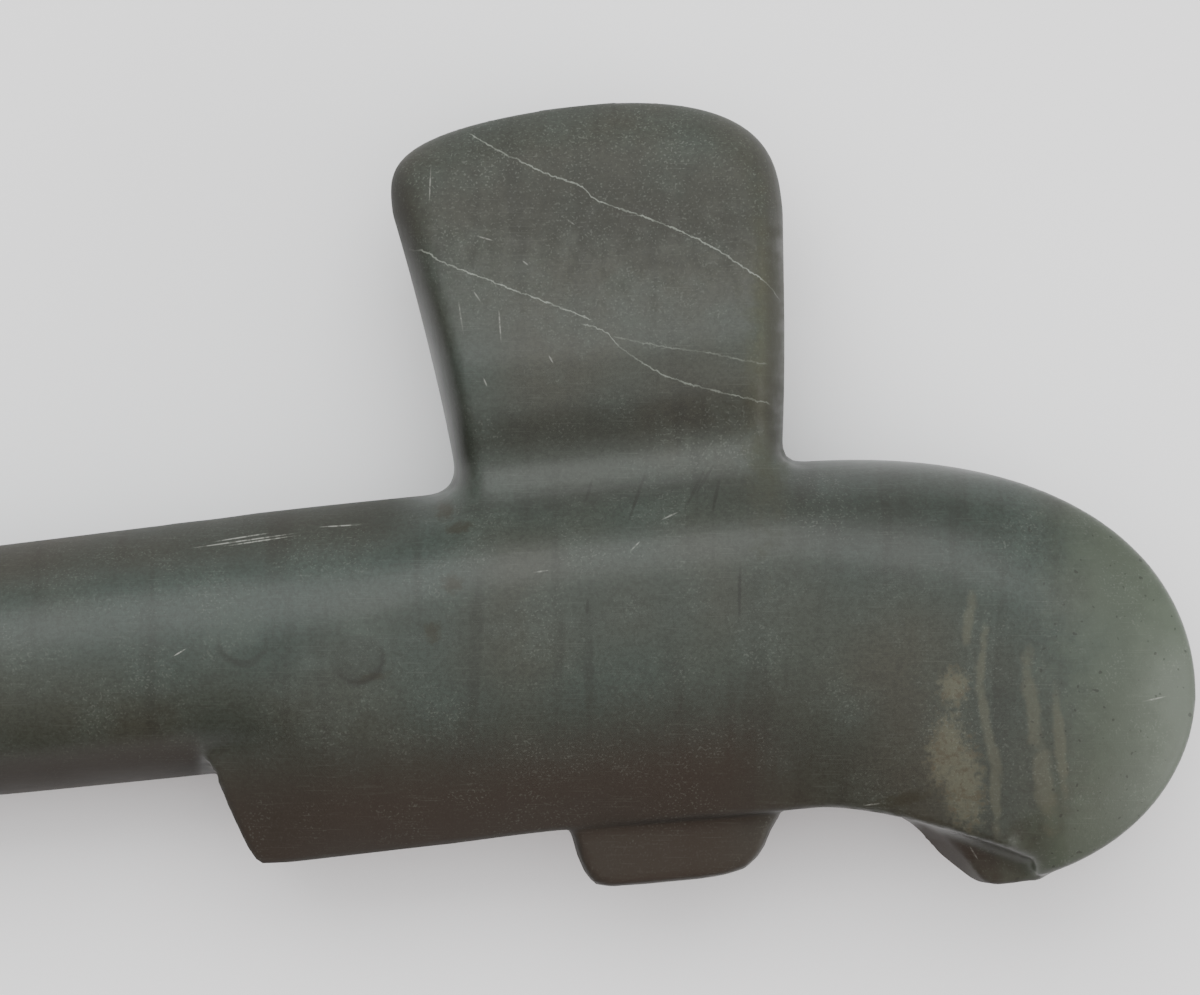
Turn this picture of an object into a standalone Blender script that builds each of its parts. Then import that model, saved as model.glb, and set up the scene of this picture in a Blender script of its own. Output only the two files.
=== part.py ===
"""A polished greenstone axe whose haft, celt and curled tip are carved from one stone.

It lies on its side, as it would on a table. Metres, +Z up. +X runs along the haft from the
butt to the tip, +Y points to the cutting bit, and Z = 0 is the plane that it rests on.
The origin is under the crossing of the haft's axis and the celt's centre line.
"""

import math

import bmesh
import bpy
import numpy as np

# Haft, a round bar along X that swells into a butt
OVERALL_LENGTH = 0.3600
TIP_REACH = 0.0834
HAFT_RADIUS = 0.0185
NECK_RADIUS = 0.0166
BUTT_SWELL_LENGTH = 0.0800
BUTT_DOME_LENGTH = 0.0130
BUTT_FLAT_RADIUS = 0.0040

# Head: the bar grows a keel on the side away from the bit, and ends in a rounded lobe
HEAD_HALF_THICKNESS = 0.0196
REST_FLAT_DEPTH = 0.0003
KEEL_DEPTH = 0.0326
KEEL_START = 0.0634
STEP_RUN = 0.0059
CROWN_RUN = 0.0200
KEEL_EDGE_HALF_THICKNESS = 0.0052
BEAK_EDGE_HALF_THICKNESS = 0.0140
LOBE_CENTRE_Y = -0.0190
LOBE_BOTTOM_Y = -0.0465
LOBE_CURVE_START = 0.0520
TOP_CURVE_START = 0.0150
HOOK_START_X = 0.0260
HOOK_END_X = 0.0576
HOOK_DROP = 0.0110
CREST_BEND_X = 0.0450
RIM_HALF_THICKNESS = 0.0110
TIP_HALF_THICKNESS = 0.0130

# Beak, the thinner lug under the lobe's lower corner
BEAK_ROOT_X = (0.0405, 0.0600)
BEAK_END_X = (0.0485, 0.0572)
BEAK_ROOT_DROP = 0.0040
BEAK_HALF_THICKNESS = 0.0088
BEAK_END_HALF_THICKNESS = 0.0070

# Blade, the half of the celt that carries the bit
BLADE_REACH = 0.0748
BLADE_CENTRE_X = 0.0010
BLADE_ROOT_X = (-0.0220, 0.0258)
BLADE_WIDEST_X = (-0.0275, 0.0301)
BLADE_CORNER_Y = (0.0620, 0.0560)
BLADE_HALF_THICKNESS = 0.0120
BLADE_ROOT_HALF_THICKNESS = 0.0113
BLADE_THICKEST_Y = 0.0340
FILLET_SIDE = 0.0050
FILLET_FACE = 0.0034

# Poll, the short back end of the celt
POLL_REACH = 0.0416
POLL_ROOT_X = (-0.0106, 0.0198)
POLL_END_X = (-0.0080, 0.0150)
POLL_HALF_THICKNESS = 0.0062
POLL_END_HALF_THICKNESS = 0.0050

# Resolution of the faceted solid
FACE_SEGMENTS = 9
BLADE_SEGMENTS = 36
LUG_SEGMENTS = 24

AXIS_HEIGHT = HEAD_HALF_THICKNESS - REST_FLAT_DEPTH
BUTT_X = TIP_REACH - OVERALL_LENGTH
TIP_OVAL_X = TIP_REACH + 0.0002
STONE_COLOUR = (0.075, 0.090, 0.075, 1.0)


def curve(x, points):
    """Smooth value at x through (x, value) points, with no overshoot between them."""
    xs = [p[0] for p in points]
    ys = [p[1] for p in points]
    if x <= xs[0]:
        return ys[0]
    if x >= xs[-1]:
        return ys[-1]
    slopes = [(ys[i + 1] - ys[i]) / (xs[i + 1] - xs[i]) for i in range(len(xs) - 1)]
    tangents = [0.0] * len(xs)
    for i in range(1, len(xs) - 1):
        if slopes[i - 1] * slopes[i] > 0:
            tangents[i] = 2 * slopes[i - 1] * slopes[i] / (slopes[i - 1] + slopes[i])
    i = max(k for k in range(len(xs) - 1) if xs[k] <= x)
    h = xs[i + 1] - xs[i]
    t = (x - xs[i]) / h
    return (
        ys[i] * (1 + 2 * t) * (1 - t) ** 2
        + h * tangents[i] * t * (1 - t) ** 2
        + ys[i + 1] * t * t * (3 - 2 * t)
        + h * tangents[i + 1] * t * t * (t - 1)
    )


def oval_fall(t, across, down):
    """1 at t = 0 falling to 0 at t = 1 along a superellipse with these exponents."""
    return (1 - min(max(t, 0.0), 1.0) ** across) ** (1 / down)


def haft_radius(x):
    """Radius of the round bar, down to a small flat at the domed butt."""
    radius = curve(
        x,
        [
            (BUTT_X + BUTT_DOME_LENGTH, HEAD_HALF_THICKNESS),
            (BUTT_X + BUTT_SWELL_LENGTH, NECK_RADIUS),
            (-KEEL_START, HAFT_RADIUS),
        ],
    )
    dome = oval_fall((BUTT_X + BUTT_DOME_LENGTH - x) / BUTT_DOME_LENGTH, 2.4, 2.0)
    return max(radius * dome, BUTT_FLAT_RADIUS)


def keel_share(x):
    """0 in the haft, 1 in the head, and between them across the step."""
    return min(max((x + KEEL_START) / STEP_RUN, 0.0), 1.0)


def top_edge(x):
    """Y of the side that carries the blade, then of the lobe's upper rim."""
    run = (x - TOP_CURVE_START) / (TIP_OVAL_X - TOP_CURVE_START)
    return LOBE_CENTRE_Y + (haft_radius(x) - LOBE_CENTRE_Y) * oval_fall(run, 2.7, 2.08)


def lobe_rim(x):
    """Y of the lobe's lower rim."""
    run = (x - LOBE_CURVE_START) / (TIP_OVAL_X - LOBE_CURVE_START)
    return LOBE_CENTRE_Y + (LOBE_BOTTOM_Y - LOBE_CENTRE_Y) * oval_fall(run, 2.05, 2.05)


def bottom_edges(x):
    """Y that the lower face curves towards, and Y of the edge where it is cut off."""
    if x >= HOOK_END_X:
        return lobe_rim(x), lobe_rim(x)
    turn = max((x - HOOK_START_X) / (HOOK_END_X - HOOK_START_X), 0.0) ** 1.5
    step = keel_share(x)
    haft = -haft_radius(x) * (1 - step)
    toward = haft - (KEEL_DEPTH * (1 - turn) - lobe_rim(HOOK_END_X) * turn) * step
    return toward, haft - (KEEL_DEPTH + HOOK_DROP * turn) * step


def section_sizes(x):
    """The shape of the body's cross-section at x, for its blade side and its keel side."""
    step = keel_share(x)
    lobe = min(max((x - CREST_BEND_X) / (TIP_REACH - CREST_BEND_X), 0.0), 1.0)
    crown = curve(
        x,
        [
            (-KEEL_START, haft_radius(x)),
            (-KEEL_START + CROWN_RUN, HEAD_HALF_THICKNESS),
        ],
    )
    crown += (TIP_HALF_THICKNESS - HEAD_HALF_THICKNESS) * lobe**2
    flat = 0.09 * crown
    keel_edge = curve(
        x,
        [
            (-KEEL_START + STEP_RUN, KEEL_EDGE_HALF_THICKNESS),
            (-0.010, KEEL_EDGE_HALF_THICKNESS + 0.0018),
            (0.020, KEEL_EDGE_HALF_THICKNESS + 0.0046),
            (CREST_BEND_X, BEAK_EDGE_HALF_THICKNESS),
            (TIP_REACH, RIM_HALF_THICKNESS),
        ],
    )
    rim = curve(
        x,
        [
            (0.028, flat),
            (0.060, 0.6 * RIM_HALF_THICKNESS),
            (TIP_REACH, RIM_HALF_THICKNESS),
        ],
    )
    toward, edge = bottom_edges(x)
    top = top_edge(x)
    return {
        "crown": crown,
        "crest": LOBE_CENTRE_Y * lobe**1.5,
        "top": (top, top, min(rim, 0.9 * crown), 2.0 + 0.3 * lobe, 2.0 - 0.6 * lobe),
        "bottom": (
            toward,
            edge,
            flat * (1 - step) + keel_edge * step,
            2.0 + 0.5 * step,
            2.0 - step,
        ),
    }


def quarter(crest, crown, side):
    """Evenly spaced (y, height) points from the section's edge up to its crest."""
    toward, edge, edge_height, across, up = side
    first = math.acos(min((edge - crest) / (toward - crest), 1.0) ** (across / 2))
    angle = np.linspace(first, math.pi / 2, 240)
    share = np.clip(np.cos(angle), 0.0, 1.0) ** (2 / across)
    rise = np.clip(np.sin(angle), 0.0, 1.0) ** (2 / up)
    y = crest + (toward - crest) * share
    height = edge_height + (crown - edge_height) * rise
    length = np.concatenate([[0.0], np.cumsum(np.hypot(np.diff(y), np.diff(height)))])
    wanted = np.linspace(0.0, length[-1], FACE_SEGMENTS + 1)
    return list(zip(np.interp(wanted, length, y), np.interp(wanted, length, height)))


def body_ring(x):
    """One closed cross-section of haft or head, with a short wall at each edge."""
    sizes = section_sizes(x)
    upper = quarter(sizes["crest"], sizes["crown"], sizes["top"])
    lower = quarter(sizes["crest"], sizes["crown"], sizes["bottom"])
    near = upper + lower[-2::-1]
    far = [(y, -height) for y, height in reversed(near)]
    return [(x, y, AXIS_HEIGHT + height) for y, height in near + far]


def oval_ring(left, right, half, y, segments, across, up):
    """A closed superellipse across X and Z at this y."""
    middle = (left + right) / 2
    reach = (right - left) / 2
    ring = []
    for i in range(segments):
        angle = 2 * math.pi * (i + 0.5) / segments
        c, s = math.cos(angle), math.sin(angle)
        x = middle + reach * math.copysign(abs(c) ** (2 / across), c)
        z = AXIS_HEIGHT + half * math.copysign(abs(s) ** (2 / up), s)
        ring.append((x, y, z))
    return ring


def loft(name, rings):
    """A closed solid through rings of equal count, with a flat face at each end."""
    mesh = bmesh.new()
    rows = [[mesh.verts.new(point) for point in ring] for ring in rings]
    for first, second in zip(rows, rows[1:]):
        for i in range(len(first)):
            k = (i + 1) % len(first)
            mesh.faces.new((first[i], first[k], second[k], second[i]))
    mesh.faces.new(rows[0])
    mesh.faces.new(reversed(rows[-1]))
    bmesh.ops.recalc_face_normals(mesh, faces=mesh.faces)
    data = bpy.data.meshes.new(name)
    mesh.to_mesh(data)
    mesh.free()
    return bpy.data.objects.new(name, data)


def spaced(start, end, count, crowd=1.0):
    """count values from start to end, closer together near the end where crowd is above 1."""
    return [start + (end - start) * (1 - (1 - i / count) ** crowd) for i in range(count + 1)]


def body_stations():
    """Where the body's cross-sections stand: close together where the outline turns."""
    dome = [BUTT_X + BUTT_DOME_LENGTH * t for t in (0.0, 0.04, 0.12, 0.28, 0.50, 0.75)]
    grip = spaced(BUTT_X + BUTT_DOME_LENGTH, -KEEL_START - 0.004, 14)
    step = spaced(-KEEL_START, -KEEL_START + STEP_RUN, 7)
    keel = spaced(-KEEL_START + STEP_RUN + 0.003, HOOK_START_X, 15)
    hook = spaced(HOOK_START_X + 0.003, HOOK_END_X - 0.0004, 9)
    lobe = spaced(HOOK_END_X, TIP_REACH, 15, crowd=1.7)
    return dome + grip + step + keel + hook + lobe


def make_body():
    return loft("body", [body_ring(x) for x in body_stations()])


def blade_ring(y):
    """Cross-section of the blade, flared at its root and closing to the bit."""
    near_haft = min(max(1 - (y - HAFT_RADIUS) / FILLET_SIDE, 0.0), 0.93)
    flare = FILLET_SIDE * (1 - math.sqrt(1 - near_haft**2))
    sides = []
    for root, widest, corner, spread, across, down in zip(
        BLADE_ROOT_X, BLADE_WIDEST_X, BLADE_CORNER_Y, (1.5, 0.75), (3.7, 3.15), (2.0, 2.3)
    ):
        grow = min(max((y - HAFT_RADIUS) / (corner - HAFT_RADIUS), 0.0), 1.0)
        reach = root + (widest - root) * grow**spread - BLADE_CENTRE_X
        reach *= oval_fall((y - corner) / (BLADE_REACH - corner), across, down)
        sides.append(BLADE_CENTRE_X + reach + math.copysign(flare, root))
    thin = oval_fall((y - BLADE_THICKEST_Y) / (BLADE_REACH - BLADE_THICKEST_Y), 2.0, 1.18)
    half = curve(
        y,
        [
            (0.60 * HAFT_RADIUS, BLADE_ROOT_HALF_THICKNESS + FILLET_FACE),
            (0.76 * HAFT_RADIUS, BLADE_ROOT_HALF_THICKNESS + 0.62 * FILLET_FACE),
            (0.95 * HAFT_RADIUS, BLADE_ROOT_HALF_THICKNESS + 0.22 * FILLET_FACE),
            (1.25 * HAFT_RADIUS, BLADE_ROOT_HALF_THICKNESS),
            (BLADE_THICKEST_Y, BLADE_HALF_THICKNESS),
        ],
    )
    return oval_ring(sides[0], sides[1], half * thin, y, BLADE_SEGMENTS, 3.6, 2.5)


def make_blade():
    root = [0.30, 0.60, 0.76, 0.90, 1.00, 1.06, 1.13, 1.22, 1.36]
    stations = [share * HAFT_RADIUS for share in root]
    stations += spaced(HAFT_RADIUS + 0.012, BLADE_REACH - 0.0001, 14, crowd=1.8)
    return loft("blade", [blade_ring(y) for y in stations])


def lug_rings(root_x, end_x, root_half, end_half, root_y, end_y, shares):
    """Rings of a lug that narrows to its end, whose last edge is slightly rounded off."""
    rings = []
    for share in shares:
        left, right = (a + (b - a) * share for a, b in zip(root_x, end_x))
        half = root_half + (end_half - root_half) * share
        inset = 0.0008 if share == shares[-1] else 0.0
        y = root_y + (end_y - root_y) * share
        rings.append(oval_ring(left + inset, right - inset, half - inset, y, LUG_SEGMENTS, 7.0, 7.0))
    return rings


def make_poll():
    """The poll, which stands out of the keel's edge behind the blade."""
    rings = lug_rings(
        POLL_ROOT_X,
        POLL_END_X,
        POLL_HALF_THICKNESS,
        POLL_END_HALF_THICKNESS,
        -KEEL_DEPTH,
        -POLL_REACH,
        (-1.0, 0.0, 0.5, 0.92, 1.0),
    )
    return loft("poll", rings)


def make_beak():
    """The thinner lug that carries the lobe's lower corner round under its face."""
    rings = lug_rings(
        BEAK_ROOT_X,
        BEAK_END_X,
        BEAK_HALF_THICKNESS,
        BEAK_END_HALF_THICKNESS,
        -KEEL_DEPTH - BEAK_ROOT_DROP,
        LOBE_BOTTOM_Y,
        (-0.5, 0.0, 0.5, 0.9, 1.0),
    )
    return loft("beak", rings)


def make_rest_cutter():
    """A slab below Z = 0 that planes the flat spots on the underside."""
    bpy.ops.mesh.primitive_cube_add(size=1.0)
    cutter = bpy.context.object
    cutter.name = "rest_plane_cutter"
    depth = 0.010
    cutter.data.transform(
        ((OVERALL_LENGTH * 1.2, 0, 0, 0), (0, 0.2, 0, 0), (0, 0, depth, 0), (0, 0, 0, 1))
    )
    cutter.location = (BUTT_X + OVERALL_LENGTH / 2, 0.0, -depth / 2)
    return cutter


def stone_material():
    material = bpy.data.materials.new("polished_greenstone")
    material.use_nodes = True
    shader = material.node_tree.nodes["Principled BSDF"]
    shader.inputs["Base Color"].default_value = STONE_COLOUR
    shader.inputs["Roughness"].default_value = 0.38
    shader.inputs["Metallic"].default_value = 0.0
    return material


def combine(target, other, operation):
    modifier = target.modifiers.new(f"{operation.lower()}_{other.name}", "BOOLEAN")
    modifier.operation = operation
    modifier.solver = "EXACT"
    modifier.object = other


def main():
    for obj in list(bpy.data.objects):
        bpy.data.objects.remove(obj)
    parts = bpy.data.collections.new("polished_stone_axe")
    helpers = bpy.data.collections.new("helpers")
    bpy.context.scene.collection.children.link(parts)
    bpy.context.scene.collection.children.link(helpers)

    axe = make_body()
    axe.name = axe.data.name = "stone_axe"
    parts.objects.link(axe)
    for lug in (make_blade(), make_poll(), make_beak()):
        helpers.objects.link(lug)
        combine(axe, lug, "UNION")
    cutter = make_rest_cutter()
    for collection in cutter.users_collection:
        collection.objects.unlink(cutter)
    helpers.objects.link(cutter)
    combine(axe, cutter, "DIFFERENCE")
    for helper in helpers.objects:
        helper.hide_render = True
        helper.display_type = "WIRE"
    axe.data.materials.append(stone_material())
    axe.data.shade_smooth()


main()
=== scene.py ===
import math
from collections import namedtuple

import bpy
import numpy as np
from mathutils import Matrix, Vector


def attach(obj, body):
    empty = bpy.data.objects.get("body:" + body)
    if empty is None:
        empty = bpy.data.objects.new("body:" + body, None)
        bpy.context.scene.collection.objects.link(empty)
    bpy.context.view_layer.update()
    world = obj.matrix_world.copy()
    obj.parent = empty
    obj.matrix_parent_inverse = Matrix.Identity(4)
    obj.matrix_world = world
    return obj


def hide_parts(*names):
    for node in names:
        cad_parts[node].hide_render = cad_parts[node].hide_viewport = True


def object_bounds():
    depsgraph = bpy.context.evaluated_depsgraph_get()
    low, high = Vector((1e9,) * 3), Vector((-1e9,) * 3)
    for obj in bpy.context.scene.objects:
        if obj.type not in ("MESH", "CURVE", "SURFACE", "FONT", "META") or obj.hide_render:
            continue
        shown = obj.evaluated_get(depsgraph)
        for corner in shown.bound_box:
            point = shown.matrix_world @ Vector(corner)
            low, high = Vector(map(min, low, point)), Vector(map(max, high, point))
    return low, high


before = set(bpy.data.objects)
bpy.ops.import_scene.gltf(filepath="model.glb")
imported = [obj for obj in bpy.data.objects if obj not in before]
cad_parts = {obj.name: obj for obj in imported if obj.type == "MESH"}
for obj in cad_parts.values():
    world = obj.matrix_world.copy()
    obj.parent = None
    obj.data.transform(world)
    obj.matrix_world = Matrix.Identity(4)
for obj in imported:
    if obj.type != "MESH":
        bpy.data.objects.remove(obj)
cad_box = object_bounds()

# The fine stone is worked out in millimetres in the part's frame, with z counted from the haft's
# axis. Its form is a field of numbers on a grid, below 0 inside the stone and above 0 outside it.
MM = 0.001
AXIS_HEIGHT = 19.3
GRID = 0.78
GRID_ALONG_HAFT = 2.0
GRID_PAST_BUTT = 2.4
GRID_PAST_TIP = 2.5
GRID_BUTT_LENGTH = 15
GRID_HAFT_START = 15.6
GRID_HAFT_END_X = -68.0
GRID_HEAD_X = -67.2
GRID_LOW_Y = -49.0
GRID_HIGH_Y = 77.0
GRID_LAYERS_EACH_WAY = 26

# Haft; the butt's end and the tip are where the CAD box has them
BUTT_X = round(cad_box[0][0] / MM, 1)
TIP_X = round(cad_box[1][0] / MM, 1)
BUTT_RADIUS = 19.6
BUTT_ROUNDING = 13.0
NECK_X = BUTT_X + 80
NECK_RADIUS = 16.6
HAFT_RADIUS = 18.5
HAFT_END_X = 8.0
HAFT_EXTRA = 0.3
HAFT_EXTRA_BY_BLADE = 0.5

# The head's outline: a crown that curls round the tip, a hook up to the keel, the keel and its step
HEAD_HALF = 19.6
HEAD_START_X = -80.0
CROWN_TURN_X = 15.0
TIP_Y = -19.0
CURL_TURN_X = 52.0
CURL_END_X = 57.6
CURL_DROP = 27.5
HOOK_X = 26.0
HOOK_RUN = 31.4
HOOK_DROP = 11.0
KEEL_DEPTH = 32.6
KEEL_DEPTH_AT_TIP = 46.3
STEP_X = -63.5
STEP = ((-58.0, -31.7), (-59.0, -29.6), (-59.9, -26.8), (-60.8, -24.0), (-61.9, -20.0),
        (-63.1, -16.8), (-64.5, -13.0), (-66.0, -8.0), (HEAD_START_X, -4.0))

# Half the thickness of the keel's edge and of the rim's flat band, each as (x, half)
KEEL_EDGE = ((-57.5, 5.4), (-10, 7.0), (20, 9.8), (44, 14.0), (62, 15.5))
RIM_BAND = ((24, 0.0), (45, 1.6), (62, 6.4), (TIP_X, 10.6))
RIM_BAND_BELOW = 12.2

# Blade: its two sides from the haft out to the bit, and half its thickness as (y, half)
BIT_Y = 74.8
BLADE_START_Y = -6.0
BLADE_ROOT_Y = 18.5
BLADE_MIDDLE_X = 1.0
LEFT_ROOT, LEFT_FLARE, LEFT_TURN_Y = 23.0, 5.5, 62.0
RIGHT_ROOT, RIGHT_FLARE, RIGHT_TURN_Y = 24.8, 4.3, 56.0
BLADE_HALF = ((8, 11.2), (18, 10.9), (23, 10.5), (31, 12.1), (36, 12.0), (42, 11.1), (46, 10.4),
              (54, 9.2), (62, 7.9), (69, 6.1), (73, 4.1), (BIT_Y, 3.0))

# Poll and beak, the two lugs on the keel
POLL = ((-10.9, -28), (-10.4, -33.4), (-9.9, -36.4), (-9.1, -39.0), (-7.9, -40.8), (-5.8, -41.4),
        (0.1, -41.6), (7.6, -41.7), (11.3, -41.5), (14.3, -40.9), (16.3, -39.4), (17.5, -37.8),
        (18.6, -35.7), (20.0, -33.8), (21.5, -28))
BEAK = ((38.0, -33.0), (40.5, -36.5), (42.3, -39.3), (44.1, -41.9), (46.4, -44.2), (48.2, -45.9),
        (49.6, -46.7), (51.7, -47.0), (54.9, -47.0), (57.8, -46.3), (59.5, -44), (58.0, -36))
POLL_HALF, POLL_HALF_AT_Y, POLL_THINNING, POLL_DRAFT = 6.7, -32, 0.17, 0.10
BEAK_HALF, BEAK_HALF_AT_Y, BEAK_THINNING, BEAK_DRAFT = 10.2, -38, 0.42, 0.03
BEAK_DRAFT_MORE = 0.25
LUG_EXTRA = 0.45
LUG_EDGE = 0.8

# How wide the fillet is where each part joins the rest; the blade's is widest up on its faces
HEAD_FILLET = 0.7
BLADE_FILLET = 4.6
BLADE_FILLET_ON_FACES = 6.0
POLL_FILLET = 1.4
BEAK_FILLET = 2.6

# Small losses along the edges, each as x, y, z and radius
CHIPS = ((-4.4, -33.9, 8.6, 1.9), (14.0, -33.6, 10.6, 1.7), (31.4, -35.0, 14.0, 2.2),
         (34.6, -35.6, 14.2, 2.0), (48.6, -42.2, 12.4, 2.4), (51.0, -43.4, 11.6, 1.8),
         (-30.6, -34.0, -6.4, 1.9), (71.0, -43.2, -13.0, 1.9))
CHIP_EDGE = 0.3
RIPPLE = 0.045


# Tools for curves, outlines and fields


def smooth(t):
    """From 0 at t = 0 to 1 at t = 1, level at both ends."""
    t = np.clip(t, 0.0, 1.0)
    return t * t * (3 - 2 * t)


def ramp(value, start, end):
    """0 up to start and 1 from end, smooth between them; start may be the larger."""
    return smooth((value - start) / (end - start))


def oval_fall(t, across, down):
    """From 1 at t = 0 down to 0 at t = 1, like a quarter of an oval with these two powers."""
    return np.maximum(1 - np.clip(t, 0.0, 1.0) ** across, 0.0) ** (1 / down)


def through(x, points):
    """Smooth values through (x, value) points, level at each end."""
    xs = np.array([p[0] for p in points], float)
    ys = np.array([p[1] for p in points], float)
    slope = np.diff(ys) / np.diff(xs)
    tangent = np.zeros(len(xs))
    for i in range(1, len(xs) - 1):
        if slope[i - 1] * slope[i] > 0:
            tangent[i] = 2 * slope[i - 1] * slope[i] / (slope[i - 1] + slope[i])
    x = np.clip(x, xs[0], xs[-1])
    i = np.clip(np.searchsorted(xs, x, side="right") - 1, 0, len(xs) - 2)
    h = xs[i + 1] - xs[i]
    t = (x - xs[i]) / h
    return (
        ys[i] * (1 + 2 * t) * (1 - t) ** 2
        + h * tangent[i] * t * (1 - t) ** 2
        + ys[i + 1] * t * t * (3 - 2 * t)
        + h * tangent[i + 1] * t * t * (t - 1)
    )


def distance(px, py, line, closed=False):
    """Distance from each point to a line of points, and where along x its nearest place is."""
    a = line[:-1]
    b = line[1:]
    if closed:
        a = line
        b = np.roll(line, -1, axis=0)
    best = np.full(px.shape, 1e9)
    near = np.zeros(px.shape)
    for (ax, ay), (bx, by) in zip(a, b):
        dx, dy = bx - ax, by - ay
        t = np.clip(((px - ax) * dx + (py - ay) * dy) / (dx * dx + dy * dy + 1e-12), 0, 1)
        d = (px - ax - t * dx) ** 2 + (py - ay - t * dy) ** 2
        closer = d < best
        best = np.where(closer, d, best)
        near = np.where(closer, ax + t * dx, near)
    return np.sqrt(best), near


def inside(px, py, ring):
    """True where the point lies inside the closed ring of points."""
    result = np.zeros(px.shape, bool)
    for (ax, ay), (bx, by) in zip(ring, np.roll(ring, -1, axis=0)):
        if ay != by:
            result ^= ((ay > py) != (by > py)) & (px < (bx - ax) * (py - ay) / (by - ay) + ax)
    return result


def even(field, steps):
    """Divides a field by its slope, so that it reads as a distance near the surface."""
    slopes = np.gradient(field, *steps)
    size = np.sqrt(sum(s * s for s in slopes))
    return field / np.maximum(size, 0.05)


def join(a, b, width):
    """Both solids as one, with a fillet as wide as given."""
    h = np.maximum(width - np.abs(a - b), 0) / width
    return np.minimum(a, b) - h * h * width / 4


def meet(a, b, width):
    """Only what both solids share, with its edge rounded as wide as given."""
    return -join(-a, -b, width)


# The stone's parts. px and py are flat grids of the plan, Z is the height from the middle plane.


def haft_radius(x):
    """Thickest at the butt, slimmest at the neck, and thicker again into the head."""
    butt = (BUTT_X + BUTT_ROUNDING, BUTT_RADIUS)
    return through(x, [butt, (NECK_X, NECK_RADIUS), (STEP_X, HAFT_RADIUS)])


def haft_field(X, Y, Z, steps):
    """A round haft with a rounded butt, a little fuller on the blade's side near the blade."""
    extra = HAFT_EXTRA + HAFT_EXTRA_BY_BLADE * ramp(X, -110, -30) * ramp(Y, 2, 12)
    radius = haft_radius(X)
    butt = np.clip((BUTT_X + BUTT_ROUNDING - X) / BUTT_ROUNDING, 0, None) ** 2.4
    haft = even((np.sqrt(butt + (Y * Y + Z * Z) / radius**2) - 1) * radius, steps) - extra
    return np.maximum(haft, X - HAFT_END_X)


def head_outline():
    """The head's outline, clockwise: its round rim, then the hook, the keel and the step back up."""
    run = 1 - (1 - np.linspace(0, 1, 240)) ** 2
    top_x = np.concatenate([np.linspace(HEAD_START_X, CROWN_TURN_X - 1, 60),
                            CROWN_TURN_X + (TIP_X - CROWN_TURN_X) * run])
    fall = oval_fall((top_x - CROWN_TURN_X) / (TIP_X - CROWN_TURN_X), 2.7, 2.08)
    top_y = TIP_Y + (haft_radius(top_x) - TIP_Y) * fall
    low_x = TIP_X - (TIP_X - CURL_END_X) * np.linspace(0, 1, 90) ** 2
    low_y = TIP_Y - CURL_DROP * oval_fall((low_x - CURL_TURN_X) / (TIP_X - CURL_TURN_X), 1.97, 1.97)
    rim = np.concatenate([np.stack([top_x, top_y], 1), np.stack([low_x, low_y], 1)])
    turn = np.linspace(1, 0, 40)
    hook = np.stack([HOOK_X + HOOK_RUN * turn, -KEEL_DEPTH - HOOK_DROP * turn**1.5], 1)
    keel_x = np.linspace(HOOK_X - 1, -57, 60)
    hollow = 0.1 + 0.45 * np.cos((keel_x + 18) / 37 * math.pi * 0.5) ** 2 - 0.1 * ramp(keel_x, 5, 25)
    keel = np.stack([keel_x, hollow - KEEL_DEPTH], 1)
    return rim, np.concatenate([hook, keel, STEP])


def round_rim(to_rim, near_x, px, py, Z, crown, steps):
    """The crown and the tip, rounded over from the outline; a flat band grows round the tip."""
    below = ramp(py, TIP_Y, TIP_Y - 12) * ramp(px, 50, 62)
    band = through(near_x, RIM_BAND) * (1 - below) + RIM_BAND_BELOW * below
    down_power = 2.0 - 0.95 * smooth(band / 9.5)
    out_power = 2.0 + 0.7 * ramp(px, -40, -20) * ramp(px, 42, 22)
    out = np.clip((HAFT_RADIUS - to_rim) / HAFT_RADIUS, 0, None)[:, :, None] ** out_power[:, :, None]
    down = np.clip((Z - band[:, :, None]) / (crown - band)[:, :, None], 0, None)
    return even((out + down ** down_power[:, :, None]) ** 0.5 * HAFT_RADIUS - HAFT_RADIUS, steps)


def keel_face(px, py, Z, crown, steps):
    """The face that falls away from the crown to the keel's edge."""
    turn = np.clip((px - HOOK_X) / 31.6, 0, 1) ** 1.5
    depth = KEEL_DEPTH * (1 - turn) + KEEL_DEPTH_AT_TIP * turn
    edge = through(px, KEEL_EDGE)
    share = np.clip(-py / depth, 0, 1.6)
    full = edge + (crown - edge) * (1 - share**2.35)
    circle = np.sqrt(np.maximum(HAFT_RADIUS**2 - py**2, 0.0))
    wedge = edge + (KEEL_DEPTH + py) * 0.345
    early = meet(circle, wedge, 1.0)
    grown = ramp(px, -65, -44)
    face = np.where(py < 0, early * (1 - grown) + full * grown, crown + 3.0)
    fade = ramp(px, 56, 70)
    face = face * (1 - fade) + (crown + 1.0) * fade
    slope = np.hypot(*np.gradient(face, steps[0], steps[1]))
    return (Z - face[:, :, None]) / np.sqrt(1 + np.minimum(slope, 3.0) ** 2)[:, :, None]


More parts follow.
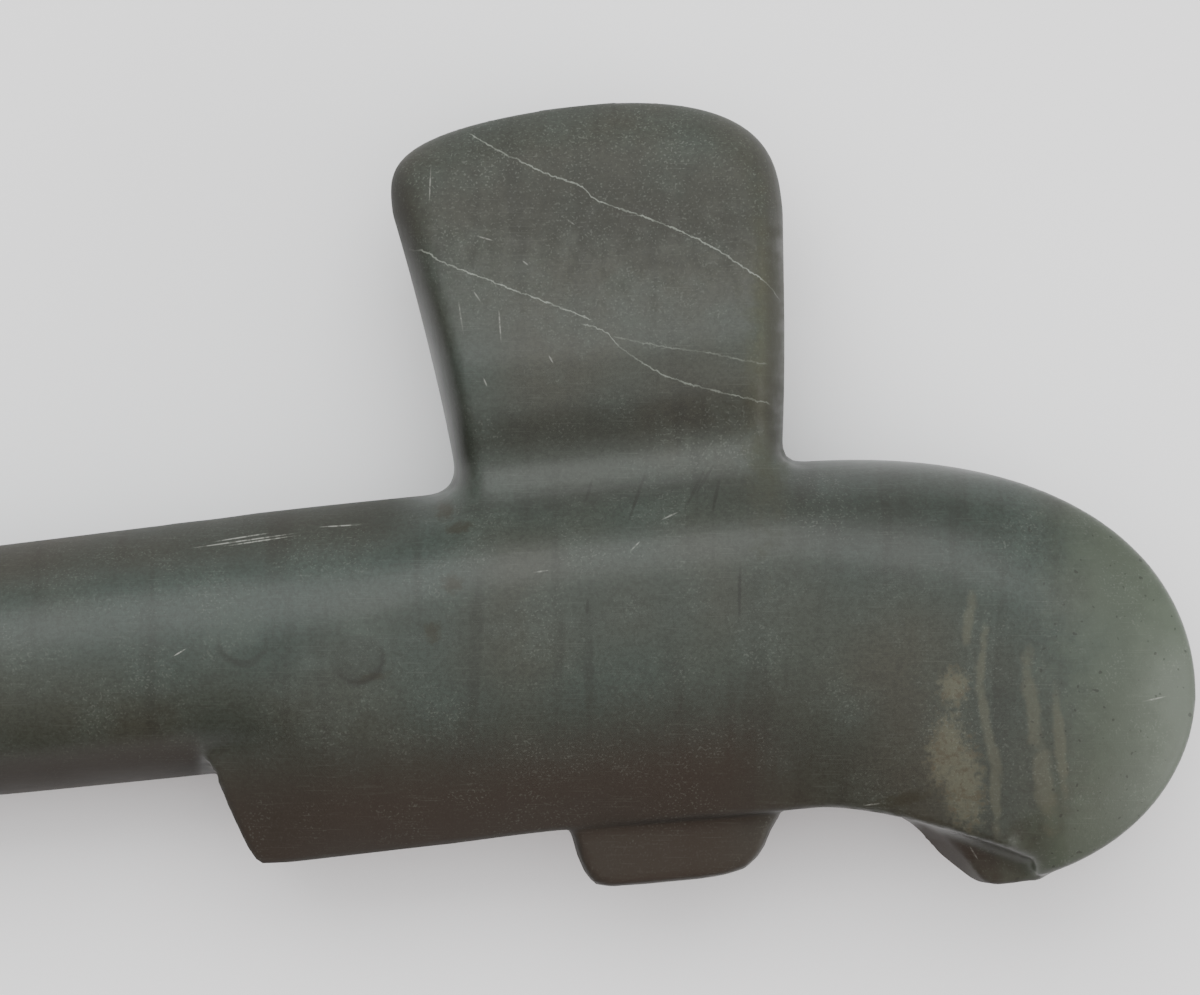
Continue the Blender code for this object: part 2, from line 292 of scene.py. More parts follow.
def head_field(px, py, Z, steps):
    """The head inside its outline: a round rim and a keel face on each side."""
    rim, low = head_outline()
    ring = np.concatenate([rim, low])
    is_in = inside(px, py, ring)
    to_rim, near_x = distance(px, py, rim)
    beyond = ~is_in & ((py > TIP_Y) | (px > CURL_END_X))
    to_rim = np.where(beyond, -to_rim, to_rim)
    to_wall, _ = distance(px, py, ring, closed=True)
    wall = np.where(is_in, -to_wall, to_wall)
    crown = HAFT_RADIUS + (HEAD_HALF - HAFT_RADIUS) * ramp(px, -64, -38) - 1.6 * ramp(px, 48, 82)
    round_side = round_rim(to_rim, near_x, px, py, Z, crown, steps)
    shell = np.maximum(round_side, keel_face(px, py, Z, crown, steps))
    head = meet(shell, wall[:, :, None] + 0 * Z, 0.5)

    # Its sides are a little fuller than the solid's, least behind the poll
    near_poll = ramp(px, -30, -10) * ramp(px, 46, 38) * ramp(py, -24, -30)
    fuller = 0.4 * ramp(px, -60, -52) * (1 - 0.8 * near_poll)
    fuller = fuller + 0.35 * ramp(px, -16, -26) * ramp(py, 4, 12)
    head = head - 0.1 - fuller[:, :, None] * ramp(Z, 16, 8)
    return np.where(px[:, :, None] < -66, 9.0, head)


def blade_outline():
    """Up the blade's left side, along the bit and down its right side."""
    y = BLADE_START_Y + (BIT_Y - BLADE_START_Y) * (1 - (1 - np.linspace(0, 1, 280)) ** 2.2)
    flare = np.clip((y - BLADE_ROOT_Y) / (LEFT_TURN_Y - BLADE_ROOT_Y), 0, 1) ** 1.5
    corner = oval_fall((y - LEFT_TURN_Y) / (BIT_Y - LEFT_TURN_Y), 3.7, 2.0)
    left = BLADE_MIDDLE_X - (LEFT_ROOT + LEFT_FLARE * flare) * corner
    flare = np.clip((y - BLADE_ROOT_Y) / (RIGHT_TURN_Y - BLADE_ROOT_Y), 0, 1) ** 0.75
    corner = oval_fall((y - RIGHT_TURN_Y) / (BIT_Y - RIGHT_TURN_Y), 3.15, 2.3)
    right = BLADE_MIDDLE_X + (RIGHT_ROOT + RIGHT_FLARE * flare) * corner
    return np.concatenate([np.stack([left, y], 1), np.stack([right, y], 1)[::-1]])


def blade_field(px, py, Z, steps):
    """Nearly flat faces that close gently towards the bit, rounded over all along the outline."""
    line = blade_outline()
    to_edge, _ = distance(px, py, line)
    to_edge = np.where(inside(px, py, line), to_edge, -to_edge) + 0.35
    half = through(py, BLADE_HALF)
    rounding = 5.2 + 2.8 * ramp(py, 50, 70)
    out = np.clip(1 - to_edge / rounding, 0, None)[:, :, None] ** 2.0
    blade = even(((out + (Z / half[:, :, None]) ** 2.2) ** 0.5 - 1) * 8.0, steps)
    return blade + 12 * ramp(py[:, :, None], 6, -4)


def lug_field(px, py, Z, steps, ring, half, draft):
    """A flat lug inside the ring, as thick as half each way, its sides drawn in by draft."""
    d, _ = distance(px, py, ring, closed=True)
    out = np.where(inside(px, py, ring), -d, d) - LUG_EXTRA
    draft = (draft + 0 * px)[:, :, None]
    side = (out[:, :, None] + draft * Z) / np.sqrt(1 + draft**2)
    slope = np.hypot(*np.gradient(half, steps[0], steps[1]))
    top = (Z - half[:, :, None]) / np.sqrt(1 + slope**2)[:, :, None]
    return meet(side, top, LUG_EDGE)


def ripple(X, Y, z):
    """A hand-ground surface isn't quite even."""
    return (
        np.sin(X / 9.1 + 0.6 * np.sin(Y / 11.0) + 0.4) * np.sin(Y / 7.3 + 0.9)
        + 0.6 * np.sin(X / 17.0 - Y / 13.0 + 2.0)
        + 0.5 * np.sin(X / 5.3 + Y / 6.1) * np.sin(z / 6.0 + X / 23.0)
    )


def stone_field(x, y, z):
    """The whole stone on the grid: haft, head, blade, poll and beak, then ripple, chips and rest."""
    steps = (x, y, z)
    px, py = np.meshgrid(x, y, indexing="ij")
    X, Y = px[:, :, None], py[:, :, None]
    z = z[None, None, :]
    Z = np.abs(z)
    stone = join(haft_field(X, Y, Z, steps), head_field(px, py, Z, steps), HEAD_FILLET)
    corner = BLADE_FILLET + 0.2 * ramp(X, -10, -18) - 1.2 * ramp(X, 12, 20)
    corner = corner + (BLADE_FILLET_ON_FACES - corner) * ramp(Z, 4.5, 9.5)
    stone = join(stone, blade_field(px, py, Z, steps), corner)
    half = POLL_HALF - POLL_THINNING * (POLL_HALF_AT_Y - py)
    poll = lug_field(px, py, Z, steps, np.array(POLL), half, POLL_DRAFT)
    stone = join(stone, poll, POLL_FILLET)
    half = BEAK_HALF - BEAK_THINNING * (BEAK_HALF_AT_Y - py)
    draft = BEAK_DRAFT + BEAK_DRAFT_MORE * ramp(px, 51.5, 46.5)
    beak = lug_field(px, py, Z, steps, np.array(BEAK), half, draft)
    stone = join(stone, beak, BEAK_FILLET)
    stone = stone + RIPPLE * ripple(X, Y, z)
    for cx, cy, cz, size in CHIPS:
        away = np.sqrt((X - cx) ** 2 + (Y - cy) ** 2 + (z - cz) ** 2)
        stone = meet(stone, size - away, CHIP_EDGE)
    return np.maximum(stone, -(z + AXIS_HEIGHT))


def skin(x, y, z, field):
    """A closed mesh on the field's zero level, one corner for each cell that it crosses."""
    solid = field < 0
    nx, ny, nz = field.shape
    corner = np.zeros((nx - 1, ny - 1, nz - 1), np.int8)
    total = np.zeros((nx - 1, ny - 1, nz - 1, 3))
    count = np.zeros((nx - 1, ny - 1, nz - 1))
    for i in (0, 1):
        for j in (0, 1):
            for k in (0, 1):
                corner += solid[i : nx - 1 + i, j : ny - 1 + j, k : nz - 1 + k]
    cut = (corner > 0) & (corner < 8)
    index = np.full(cut.shape, -1, np.int64)
    index[cut] = np.arange(cut.sum())
    coords = (x, y, z)
    faces = []
    for axis in range(3):
        lo = [slice(None)] * 3
        hi = [slice(None)] * 3
        lo[axis] = slice(0, -1)
        hi[axis] = slice(1, None)
        a, b = field[tuple(lo)], field[tuple(hi)]
        crossing = (a < 0) != (b < 0)
        where = np.argwhere(crossing)
        va, vb = a[crossing], b[crossing]
        t = va / (va - vb)
        spot = np.stack([coords[n][where[:, n]] for n in range(3)], 1)
        span = coords[axis][where[:, axis] + 1] - coords[axis][where[:, axis]]
        spot[:, axis] += t * span
        other = [n for n in range(3) if n != axis]
        quad = []
        for da, db in ((0, 0), (-1, 0), (-1, -1), (0, -1)):
            cell = where.copy()
            cell[:, other[0]] += da
            cell[:, other[1]] += db
            np.add.at(total, tuple(cell.T), spot)
            np.add.at(count, tuple(cell.T), 1)
            quad.append(index[tuple(cell.T)])
        quad = np.stack(quad, 1)
        outward = (va < 0) if axis != 1 else (va >= 0)
        faces.append(np.where(outward[:, None], quad, quad[:, ::-1]))
    points = total[cut] / count[cut][:, None]
    return points, np.concatenate(faces)


def make_stone():
    """The stone's mesh, on a grid that is fine at the butt and the head and wider along the haft."""
    along = np.concatenate([
        np.arange(BUTT_X - GRID_PAST_BUTT, BUTT_X + GRID_BUTT_LENGTH, GRID),
        np.arange(BUTT_X + GRID_HAFT_START, GRID_HAFT_END_X, GRID_ALONG_HAFT),
        np.arange(GRID_HEAD_X, TIP_X + GRID_PAST_TIP, GRID),
    ])
    across = np.arange(GRID_LOW_Y, GRID_HIGH_Y, GRID)
    up = np.arange(-GRID_LAYERS_EACH_WAY, GRID_LAYERS_EACH_WAY + 1) * GRID
    points, quads = skin(along, across, up, stone_field(along, across, up))
    points = points * MM
    points[:, 2] += AXIS_HEIGHT * MM
    points[:, 2] = np.maximum(points[:, 2], 0.0)
    mesh = bpy.data.meshes.new("stone")
    mesh.from_pydata(points.tolist(), [], quads.tolist())
    mesh.validate()
    mesh.shade_smooth()
    stone = bpy.data.objects.new("stone", mesh)
    bpy.context.scene.collection.objects.link(stone)
    return stone


# Colour. Marks are placed by where the photograph shows them: u to the right and v down, in its
# pixels, with the height in millimetres above the middle plane of the surface that they lie on.

PIXEL = 0.15
ROLL = math.radians(6)
PHOTO_MIDDLE = (600.0, 497.5)
ORIGIN_AT = (620.0, 605.0)
CAMERA_HEIGHT = 0.90

GREEN = (0.029, 0.039, 0.032)
BROWN_GREEN = (0.033, 0.033, 0.024)
PALE_GREEN = (0.048, 0.060, 0.050)
TIP_GREEN = (0.054, 0.066, 0.048)
# Painted highlight for the tip's far end, where the light from the right catches it
PAINTED_TIP_HIGHLIGHT = (0.088, 0.106, 0.080)
# Painted shade for the sides that face away from the light, dark and brown
SHADE_BROWN = (0.021, 0.012, 0.007)
DARK = (0.012, 0.011, 0.008)
TAN = (0.098, 0.094, 0.062)
RUST = (0.070, 0.056, 0.032)
OLIVE = (0.062, 0.062, 0.034)
PALE = (0.200, 0.215, 0.185)
CHALK = (0.420, 0.420, 0.380)
STAIN = (0.018, 0.015, 0.007)

# Ovals are (u, v, half length, half height, turn), lines (u, v, u, v) and a vein's points (u, v)
Ovals = namedtuple("Ovals", "height soft ovals")
Lines = namedtuple("Lines", "height width lines")
Vein = namedtuple("Vein", "height width points")

TIP_STREAKS = Ovals(16, 0.5, (
    (967, 622, 5, 24, 0.12), (980, 664, 4, 34, 0.10), (983, 712, 5, 34, -0.16),
    (992, 752, 5, 26, -0.25), (995, 792, 5, 38, -0.06), (1031, 706, 7, 50, -0.10),
    (1044, 782, 8, 44, -0.16), (1059, 745, 5, 44, -0.10)))
TIP_BLOBS = Ovals(16, 0.5, ((953, 687, 13, 16, 0), (946, 752, 16, 32, 0.1), (962, 780, 18, 42, -0.15)))
OLIVE_BAND = Ovals(9, 0.9, ((771, 340, 19, 128, 0.02),))
# Painted shade: dark bands over the blade's root, the crease by the head, the upper blade and the
# crown's right end, dimming their light
PAINTED_SHADE_BANDS = Ovals(12, 0.8, ((612, 420, 150, 30, -0.10), (620, 492, 150, 10, -0.10),
                             (870, 520, 120, 45, 0.15), (620, 208, 125, 42, 0.12)))
STAINS = Ovals(17, 0.6, ((433, 632, 7, 9, 0.0), (453, 584, 9, 8, -0.2), (444, 510, 9, 9, 0.1),
                         (459, 528, 11, 5, -0.2), (372, 677, 15, 4, -0.2), (905, 800, 22, 6, -0.2)))
SCUFFS = Ovals(17, 0.5, ((300, 635, 92, 44, -0.08), (475, 487, 34, 14, -0.1)))
RINGS = Ovals(17, 0.12, ((243, 641, 26, 25, 0), (359, 659, 27, 26, 0)))
RING_HOLES = Ovals(17, 0.12, ((243, 638, 22, 21, 0), (357, 656, 24, 23, 0)))
RING_DISC = Ovals(17, 0.1, ((359, 659, 24, 24, 0),))

BLADE_SCRATCHES = Lines(10, 0.7, (
    (430, 168, 429, 197), (459, 304, 463, 331), (499, 312, 501, 339), (484, 379, 487, 386),
    (474, 292, 480, 301), (549, 356, 553, 363), (523, 261, 528, 265), (567, 219, 574, 224),
    (478, 236, 492, 240)))
HAFT_SCRATCHES = Lines(16, 0.6, (
    (199, 547, 283, 535), (232, 545, 286, 537), (321, 527, 355, 525), (218, 541, 262, 534),
    (176, 655, 186, 649)))
HEAD_SCRATCHES = Lines(15, 0.7, (
    (663, 519, 676, 513), (632, 549, 639, 542), (535, 572, 548, 570), (866, 806, 880, 804),
    (1144, 701, 1164, 697), (973, 850, 980, 861)))
DARK_SCRATCHES = Lines(13, 1.6, (
    (705, 469, 687, 505), (646, 472, 629, 519), (713, 466, 697, 492), (720, 478, 712, 512),
    (592, 480, 586, 500), (739, 566, 738, 616), (588, 598, 587, 613)))

UPPER_VEIN = Vein(9, 1.15, (
    (468, 131), (500, 150), (530, 165), (551, 175), (573, 182), (584, 188), (594, 198), (613, 206),
    (661, 223), (710, 246), (750, 272), (766, 283), (782, 303)))
LOWER_VEIN = Vein(11, 1.1, (
    (407, 248), (424, 251), (439, 260), (482, 277), (514, 290), (541, 300), (562, 308), (592, 320)))
LOWER_VEIN_DOWN = Vein(12, 1.05, (
    (580, 323), (605, 332), (618, 345), (648, 366), (669, 377), (715, 391), (742, 397), (771, 404)))
LOWER_VEIN_UP = Vein(12, 1.0, ((613, 336), (629, 340), (661, 346), (715, 354), (742, 360), (768, 364)))


def laid_flat(u, v, height):
    """Undoes the photograph's perspective for a mark so many millimetres above the middle plane."""
    shrink = 1 - height * MM / CAMERA_HEIGHT
    middle_u, middle_v = PHOTO_MIDDLE
    return middle_u + (u - middle_u) * shrink, middle_v + (v - middle_v) * shrink


class Paint:
    """Short names for building a material's or a world's nodes."""

    def __init__(self, owner):
        self.tree = owner.node_tree

    def node(self, kind, *inputs, **settings):
        """A new node; each input in turn is a socket to link, a value to set, or None to leave."""
        made = self.tree.nodes.new("ShaderNode" + kind)
        for name, value in settings.items():
            setattr(made, name, value)
        for socket, value in zip(made.inputs, inputs):
            if isinstance(value, bpy.types.NodeSocket):
                self.tree.links.new(value, socket)
            elif value is not None:
                socket.default_value = value
        return made

    def calc(self, operation, a, b=0.0):
        return self.node("Math", a, b, operation=operation).outputs[0]

    def times(self, a, b):
        return self.calc("MULTIPLY", a, b)

    def plus(self, a, b):
        return self.calc("ADD", a, b)

    def larger(self, a, b):
        return self.calc("MAXIMUM", a, b)

    def step(self, value, start, end):
        """0 up to start and 1 from end, smooth between them; start may be the larger."""
        made = self.node("MapRange", value, start, end, 0.0, 1.0, interpolation_type="SMOOTHSTEP")
        return made.outputs[0]

    def share(self, value, start, end):
        """From 0 at start evenly to 1 at end."""
        return self.node("MapRange", value, start, end, 0.0, 1.0).outputs[0]

    def noise(self, vector, scale, detail, rough):
        return self.node("TexNoise", vector, None, scale, detail, rough).outputs["Fac"]

    def flat_noise(self, vector, scale, detail, rough):
        """Noise that is the same all the way through the stone, from top to underside."""
        made = self.node("TexNoise", vector, None, scale, detail, rough, noise_dimensions="2D")
        return made.outputs["Fac"]

    def mix(self, share, a, b):
        """Colour a with this share of colour b in it."""
        made = self.node("Mix", data_type="RGBA")
        for i, value in ((0, share), (6, a), (7, b)):
            if isinstance(value, bpy.types.NodeSocket):
                self.tree.links.new(value, made.inputs[i])
            else:
                made.inputs[i].default_value = value if i == 0 else (*value, 1.0)
        return made.outputs[2]

    def over(self, colour, tint, mask, strength):
        """The tint laid over the colour where the mask is, at most as strong as given."""
        return self.mix(self.times(mask, strength), colour, tint)

    def stretched(self, vector, scale):
        return self.node("VectorMath", vector, scale, operation="MULTIPLY").outputs[0]

    def along(self, vector, direction):
        return self.node("VectorMath", vector, direction, operation="DOT_PRODUCT").outputs["Value"]


class StonePaint(Paint):
    """Paint with the stone's own places, noises and marks."""

    def __init__(self, material):
        super().__init__(material)
        place = self.node("TexCoord").outputs["Object"]
        self.place = self.node("VectorMath", place, None, None, 1 / MM, operation="SCALE").outputs[0]
        c, s = math.cos(ROLL) / PIXEL, math.sin(ROLL) / PIXEL
        self.across = self.plus(self.along(self.place, (c, -s, 0)), ORIGIN_AT[0])
        self.down = self.calc("SUBTRACT", ORIGIN_AT[1], self.along(self.place, (s, c, 0)))
        self.plan = self.node("CombineXYZ", self.across, self.down, 0.0).outputs[0]
        self.sideways = self.node("SeparateXYZ", self.place).outputs[1]
        height = self.node("SeparateXYZ", self.place).outputs[2]
        self.shown_side = self.step(height, AXIS_HEIGHT - 2, AXIS_HEIGHT + 3)
        self.clouds = self.noise(self.place, 0.022, 2.0, 0.6)
        self.patches = self.noise(self.place, 0.11, 3.0, 0.65)
        self.bands = self.flat_noise(self.stretched(self.plan, (0.030, 0.0035, 0.0)), 1.0, 2.0, 0.65)
        self.grain = self.noise(self.place, 1.5, 2.0, 0.75)
        self.dust = self.noise(self.place, 3.1, 0.0, 0.5)

    def make_sway(self):
        """The noises that push outlines and edges of tone to and fro."""
        self.slow = self.calc("SUBTRACT", self.flat_noise(self.plan, 0.05, 2.0, 0.6), 0.5)
        self.quick = self.calc("SUBTRACT", self.flat_noise(self.plan, 0.15, 2.0, 0.65), 0.5)
        self.wobble = self.times(self.slow, 1.7)
        self.shiver = self.times(self.quick, 1.6)

    def swayed(self, value, amount):
        """The value pushed to and fro by the slow noise."""
        return self.plus(value, self.times(self.slow, amount))

    def away(self, oval, height):
        """How far from an oval's centre, 1 on its outline."""
        u, v, half_length, half_height, turn = oval
        u, v = laid_flat(u, v, height)
        made = self.node("Mapping", self.plan, (u, v, 0), (0, 0, turn), (half_length, half_height, 1),
                         vector_type="TEXTURE")
        return self.node("VectorMath", made.outputs[0], operation="LENGTH").outputs["Value"]

    def ovals(self, marks, wobble=None):
        """1 inside the ovals and 0 outside them, with a ragged outline where a wobble is given."""
        nearest = self.away(marks.ovals[0], marks.height)
        for oval in marks.ovals[1:]:
            nearest = self.calc("MINIMUM", nearest, self.away(oval, marks.height))
        if wobble is not None:
            nearest = self.plus(nearest, wobble)
        return self.step(nearest, 1 + marks.soft, 1 - marks.soft)

    def lines(self, marks):
        """1 along thin straight marks that taper to their ends."""
        ovals = [((u0 + u1) / 2, (v0 + v1) / 2, math.hypot(u1 - u0, v1 - v0) / 2, marks.width,
                  math.atan2(v1 - v0, u1 - u0)) for u0, v0, u1, v1 in marks.lines]
        return self.ovals(Ovals(marks.height, 0.45, ovals))

    def vein(self, vein, down):
        """1 along a hairline through the vein's points, as a curve of v over u."""
        flat = [laid_flat(u, v, vein.height) for u, v in vein.points]
        u0, u1 = flat[0][0], flat[-1][0]
        v0, v1 = min(p[1] for p in flat), max(p[1] for p in flat)
        made = self.node("FloatCurve", 1.0, self.share(self.across, u0, u1))
        curve = made.mapping.curves[0]
        for u, v in flat[1:-1]:
            curve.points.new((u - u0) / (u1 - u0), (v - v0) / (v1 - v0))
        curve.points[0].location = (0, (flat[0][1] - v0) / (v1 - v0))
        curve.points[-1].location = (1, (flat[-1][1] - v0) / (v1 - v0))
        made.mapping.update()
        path = self.node("MapRange", made.outputs[0], 0.0, 1.0, v0, v1).outputs[0]
        off = self.calc("ABSOLUTE", self.calc("SUBTRACT", down, path))
        mask = self.step(off, vein.width, vein.width * 0.25)
        ends = self.times(self.step(self.across, u0 - 1, u0 + 4), self.step(self.across, u1 + 1, u1 - 4))
        return self.times(mask, ends)


def ground(p):
    """A dark green ground with browner clouds, faint upright banding and fine grain."""
    colour = p.mix(p.step(p.clouds, 0.36, 0.66), GREEN, BROWN_GREEN)
    colour = p.over(colour, PALE_GREEN, p.step(p.patches, 0.42, 0.75), 0.35)
    colour = p.over(colour, DARK, p.step(p.bands, 0.52, 0.74), 0.30)
    return p.over(colour, DARK, p.step(p.grain, 0.38, 0.66), 0.34)


def painted_underside_shade(p, colour):
    """Painted shade: darker and browner towards the keel, under the haft and on the beak's facet, where
    the surfaces face away from the light; these places are also duller.
    """
    low = p.step(p.sideways, -9.0, -27.0)
    low = p.times(low, p.plus(p.times(p.step(p.across, 840, 700), 0.8), 0.2))
    under_haft = p.times(p.step(p.sideways, -10.5, -16.0), p.step(p.across, 215, 195))
    beak_facet = p.step(p.along(p.place, (0.584, 1.0, 0.0)), -11.8, -13.6)
    beak_facet = p.times(beak_facet, p.step(p.across, 905, 925))
    low = p.larger(low, p.larger(under_haft, beak_facet))
    # Painted shade along the haft's upper edge, where its round turns away from the light
    shaded_haft_edge = p.times(p.step(p.sideways, 10.0, 15.5), p.step(p.across, 440, 380))
    colour = p.mix(p.plus(p.times(low, 0.85), p.times(shaded_haft_edge, 0.35)), colour, SHADE_BROWN)
    return colour, low, shaded_haft_edge


def green_tip_and_painted_highlight(p, colour):
    """The tip is greener, and its far end carries a painted highlight where the light from the right
    catches it.
    """
    lower_tip = p.times(p.step(p.down, 760, 880), 60.0)
    near = p.step(p.swayed(p.plus(p.across, lower_tip), 70.0), 1010, 1120)
    colour = p.over(colour, TIP_GREEN, near, 0.75)
    # Painted highlight on the far end of the tip
    return p.over(colour, PAINTED_TIP_HIGHLIGHT, p.step(p.swayed(p.across, 50.0), 1110, 1175), 0.45)


def inclusions(p, colour):
    """Tan streaks and mottled blobs by the tip, and an olive band down the blade's right edge."""
    colour = p.over(colour, TAN, p.ovals(TIP_STREAKS, p.wobble), 0.29)
    blobs = p.ovals(TIP_BLOBS, p.shiver)
    mottled = p.step(p.plus(p.quick, p.slow), -0.30, 0.04)
    colour = p.mix(p.times(blobs, 0.52), colour, p.mix(mottled, RUST, TAN))
    olive = p.ovals(OLIVE_BAND, p.wobble)
    return p.over(colour, OLIVE, olive, 0.40), olive


def dark_specks_and_painted_shade(p, colour):
    """Small dark specks on the tip, and painted shade in dark cloudy bands over the head and the blade.
    """
    specks = p.step(p.noise(p.place, 1.15, 0.0, 0.5), 0.23, 0.19)
    colour = p.over(colour, DARK, p.times(specks, p.step(p.across, 960, 1040)), 0.55)
    # Painted shade in the dark bands
    return p.over(colour, DARK, p.ovals(PAINTED_SHADE_BANDS, p.wobble), 0.40)


def light_speckle(p, colour):
    """Fine light speckle, thickest on the upper blade."""
    far_up = p.step(p.swayed(p.down, 160.0), 330, 200)
    thick = p.plus(p.times(far_up, 0.07), p.times(p.step(p.patches, 0.44, 0.64), 0.09))
    thick = p.plus(thick, 0.03)
    return p.over(colour, PALE, p.step(p.dust, 0.62, 0.76), thick), far_up


def veins(p, colour):
    """Pale broken hairlines through the blade, the lower one forked."""
    broken = p.step(p.slow, -0.16, 0.10)
    shaken = p.plus(p.down, p.times(p.quick, 4.5))
    on_blade = p.step(p.sideways, 24.0, 27.0)
    strong = p.larger(p.vein(UPPER_VEIN, shaken), p.vein(LOWER_VEIN, shaken))
    weak = p.larger(p.vein(LOWER_VEIN_DOWN, shaken), p.times(p.vein(LOWER_VEIN_UP, shaken), 0.55))
    lines = p.times(p.larger(strong, p.times(weak, 0.75)), on_blade)
    lines = p.times(lines, p.plus(p.times(broken, 0.6), 0.4))
    return p.over(colour, PALE, lines, 0.70)


def scratches(p, colour):
    """Hair-fine streaks all over, and pale and dark scratches on the side that shows."""
    gaps = p.plus(p.times(p.step(p.quick, -0.14, 0.06), 0.7), 0.3)
    gaps = p.times(gaps, p.shown_side)
    on_blade = p.times(p.lines(BLADE_SCRATCHES), 0.55)
    pale = p.larger(p.lines(HAFT_SCRATCHES), p.times(p.lines(HEAD_SCRATCHES), 0.6))
    pale = p.larger(on_blade, pale)
    hair = p.flat_noise(p.stretched(p.plan, (0.02, 0.75, 0.0)), 1.0, 1.0, 0.5)
    colour = p.over(colour, PALE, p.step(hair, 0.66, 0.80), 0.05)
    colour = p.over(colour, CHALK, p.times(pale, gaps), 0.45)
    return p.over(colour, DARK, p.times(p.lines(DARK_SCRATCHES), p.shown_side), 0.5)


def haft_marks(p, colour):
    """Rust-brown stains, and a scuffed paler patch with two faint rings on the haft."""
    stains = p.times(p.ovals(STAINS, p.shiver), p.shown_side)
    colour = p.over(colour, STAIN, stains, 0.62)
    scuff = p.times(p.times(p.ovals(SCUFFS, p.wobble), p.step(p.patches, 0.42, 0.64)), p.shown_side)
    colour = p.over(colour, PALE_GREEN, scuff, 0.35)
    rings = p.calc("SUBTRACT", p.ovals(RINGS), p.ovals(RING_HOLES))
    disc = p.times(p.ovals(RING_DISC), 0.25)
    rings = p.times(rings, p.step(p.swayed(p.down, 60.0), 615, 650))
    rings = p.times(p.plus(p.times(rings, 0.42), disc), p.shown_side)
    return p.mix(rings, colour, DARK), scuff


def painted_flank_shade(p, colour):
    """Painted shade: the steep sides of the blade and the surfaces that face towards the keel are
    darker.
    """
    normal = p.node("SeparateXYZ", p.node("TexCoord").outputs["Normal"])
    steep = p.step(p.calc("ABSOLUTE", normal.outputs[0]), 0.45, 0.92)
    shaded_flanks = p.times(steep, p.step(p.across, 930, 880))
    shaded_flanks = p.larger(shaded_flanks, p.step(normal.outputs[1], -0.55, -0.95))
    # Painted shade on the steep and keel-facing sides
    return p.over(colour, DARK, shaded_flanks, 0.60)


def polish(p, shader, scuff, far_up, olive, low, shaded_haft_edge):
    """Worn polish with a fine tooth, patchy, and duller in the places given."""
    rough = p.plus(p.times(p.patches, 0.16), p.plus(p.times(scuff, 0.08), 0.28))
    dull = p.larger(p.times(far_up, 0.6), olive)
    dull = p.larger(dull, p.larger(low, shaded_haft_edge))
    p.tree.links.new(p.plus(rough, p.times(dull, 0.34)), shader.inputs["Roughness"])
    shader.inputs["Specular IOR Level"].default_value = 0.32
    bump = p.node("Bump", 0.35, 0.00005)
    p.tree.links.new(p.plus(p.grain, p.noise(p.place, 0.45, 1.0, 0.6)), bump.inputs["Height"])
    p.tree.links.new(bump.outputs[0], shader.inputs["Normal"])


def greenstone():
    """The whole material. Eight more marks than it has now turn the stone black."""
    material = bpy.data.materials.new("greenstone")
    material.use_nodes = True
    p = StonePaint(material)
    shader = p.tree.nodes["Principled BSDF"]
    colour, low, shaded_haft_edge = painted_underside_shade(p, ground(p))
    p.make_sway()
    colour, olive = inclusions(p, green_tip_and_painted_highlight(p, colour))
    colour, far_up = light_speckle(p, dark_specks_and_painted_shade(p, colour))
    colour, scuff = haft_marks(p, scratches(p, veins(p, colour)))
    p.tree.links.new(painted_flank_shade(p, colour), shader.inputs["Base Color"])
    polish(p, shader, scuff, far_up, olive, low, shaded_haft_edge)
    return material


# Floor, light and camera

FLOOR_SIZE = 6.0
FLOOR_COLOUR = (0.94, 0.928, 0.94, 1)
FLOOR_ROUGHNESS = 0.9
SKY_DARK = (0.24, 0.07, 0.05)
SKY_BRIGHT = (2.02, 2.12, 2.11)
SKY_TOWARDS = (0.0, 0.60, 0.80)
LOW_SKY = 0.12
KEY_LIGHT = ((0.0, 0.95, 1.35), (1.8, 1.1), 14)
RIGHT_LIGHT = ((1.15, -0.55, 0.44), (1.3, 0.6), 14)
VIEW_HALF_WIDTH = 0.090
CAMERA_OVER = (-0.0013, 0.01635)


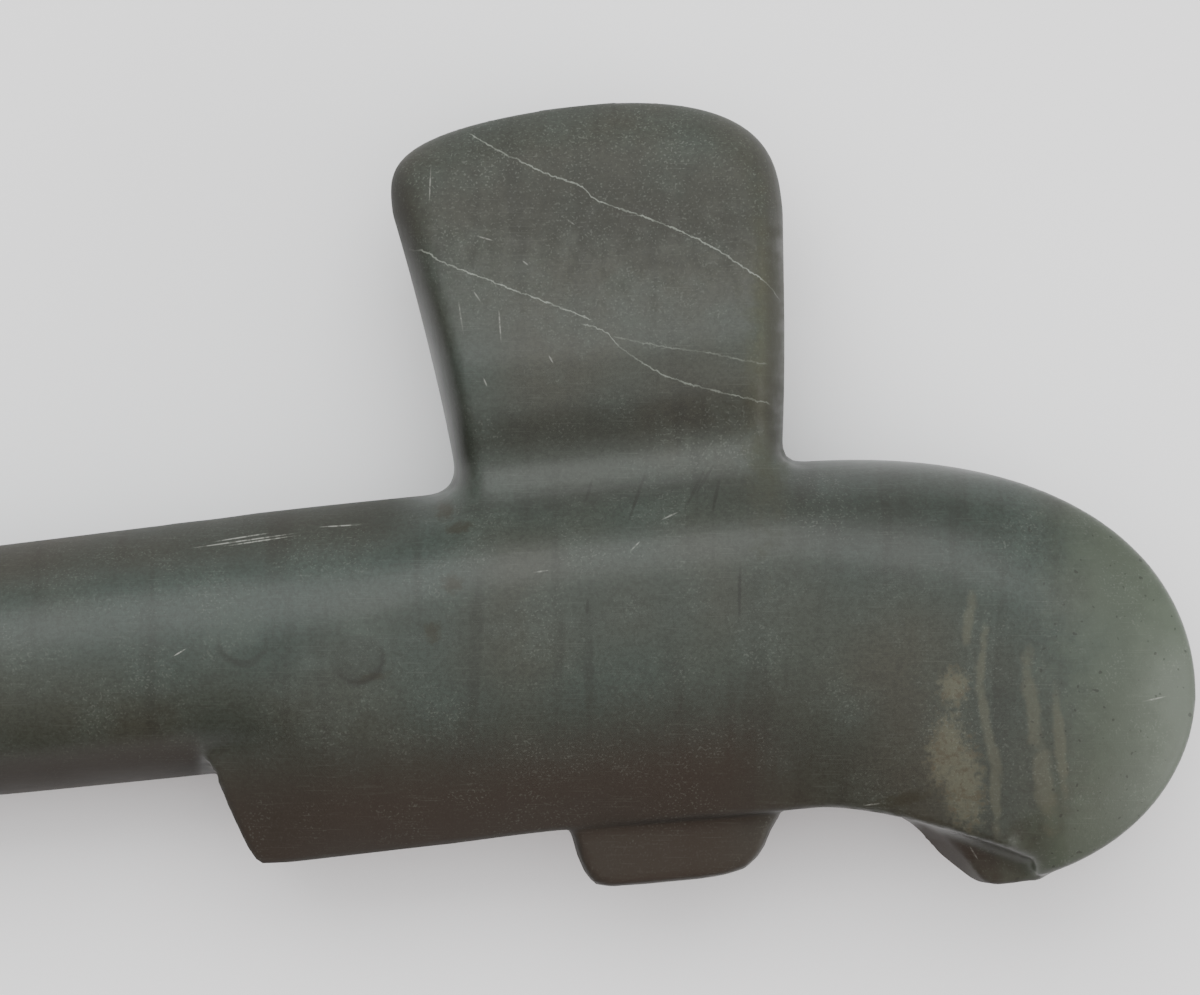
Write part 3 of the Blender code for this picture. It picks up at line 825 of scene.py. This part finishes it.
def make_floor():
    """A plain pale floor at the height on which the axe rests."""
    bpy.ops.mesh.primitive_plane_add(size=FLOOR_SIZE)
    floor = bpy.context.object
    floor.name = "floor"
    material = bpy.data.materials.new("floor")
    material.use_nodes = True
    shader = material.node_tree.nodes["Principled BSDF"]
    shader.inputs["Base Color"].default_value = FLOOR_COLOUR
    shader.inputs["Roughness"].default_value = FLOOR_ROUGHNESS
    floor.data.materials.append(material)
    return floor


def area_light(name, place, size, power):
    """A soft rectangular light that faces the head of the axe."""
    data = bpy.data.lights.new(name, "AREA")
    data.shape = "RECTANGLE"
    data.size, data.size_y = size
    data.energy = power
    light = bpy.data.objects.new(name, data)
    light.location = place
    light.rotation_euler = (-Vector(place)).to_track_quat("-Z", "Y").to_euler()
    bpy.context.scene.collection.objects.link(light)


def studio_sky():
    """A soft white dome, brightest above and behind the blade, dim and warm low down in front."""
    world = bpy.data.worlds.new("studio")
    world.use_nodes = True
    sky = Paint(world)
    ray = sky.node("TexCoord").outputs["Generated"]
    bright = sky.step(sky.along(ray, SKY_TOWARDS), -0.35, 1.10)
    above = sky.step(sky.along(ray, (0, 0, 1)), -0.05, 0.60)
    above = sky.plus(sky.times(above, 1 - LOW_SKY), LOW_SKY)
    background = world.node_tree.nodes["Background"]
    world.node_tree.links.new(sky.mix(bright, SKY_DARK, SKY_BRIGHT), background.inputs["Color"])
    world.node_tree.links.new(above, background.inputs["Strength"])
    return world


def overhead_camera():
    """Straight above the axe as in the photograph, rolled with it."""
    data = bpy.data.cameras.new("camera")
    data.sensor_fit = "HORIZONTAL"
    data.angle = 2 * math.atan(VIEW_HALF_WIDTH / CAMERA_HEIGHT)
    camera = bpy.data.objects.new("camera", data)
    camera.location = (*CAMERA_OVER, AXIS_HEIGHT * MM + CAMERA_HEIGHT)
    camera.rotation_euler = (0, 0, -ROLL)
    bpy.context.scene.collection.objects.link(camera)
    return camera


stone = make_stone()
stone.data.materials.append(greenstone())
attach(stone, "root")
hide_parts("stone_axe")

make_floor()
area_light("key", *KEY_LIGHT)
area_light("right", *RIGHT_LIGHT)
bpy.context.scene.world = studio_sky()
bpy.context.scene.camera = overhead_camera()
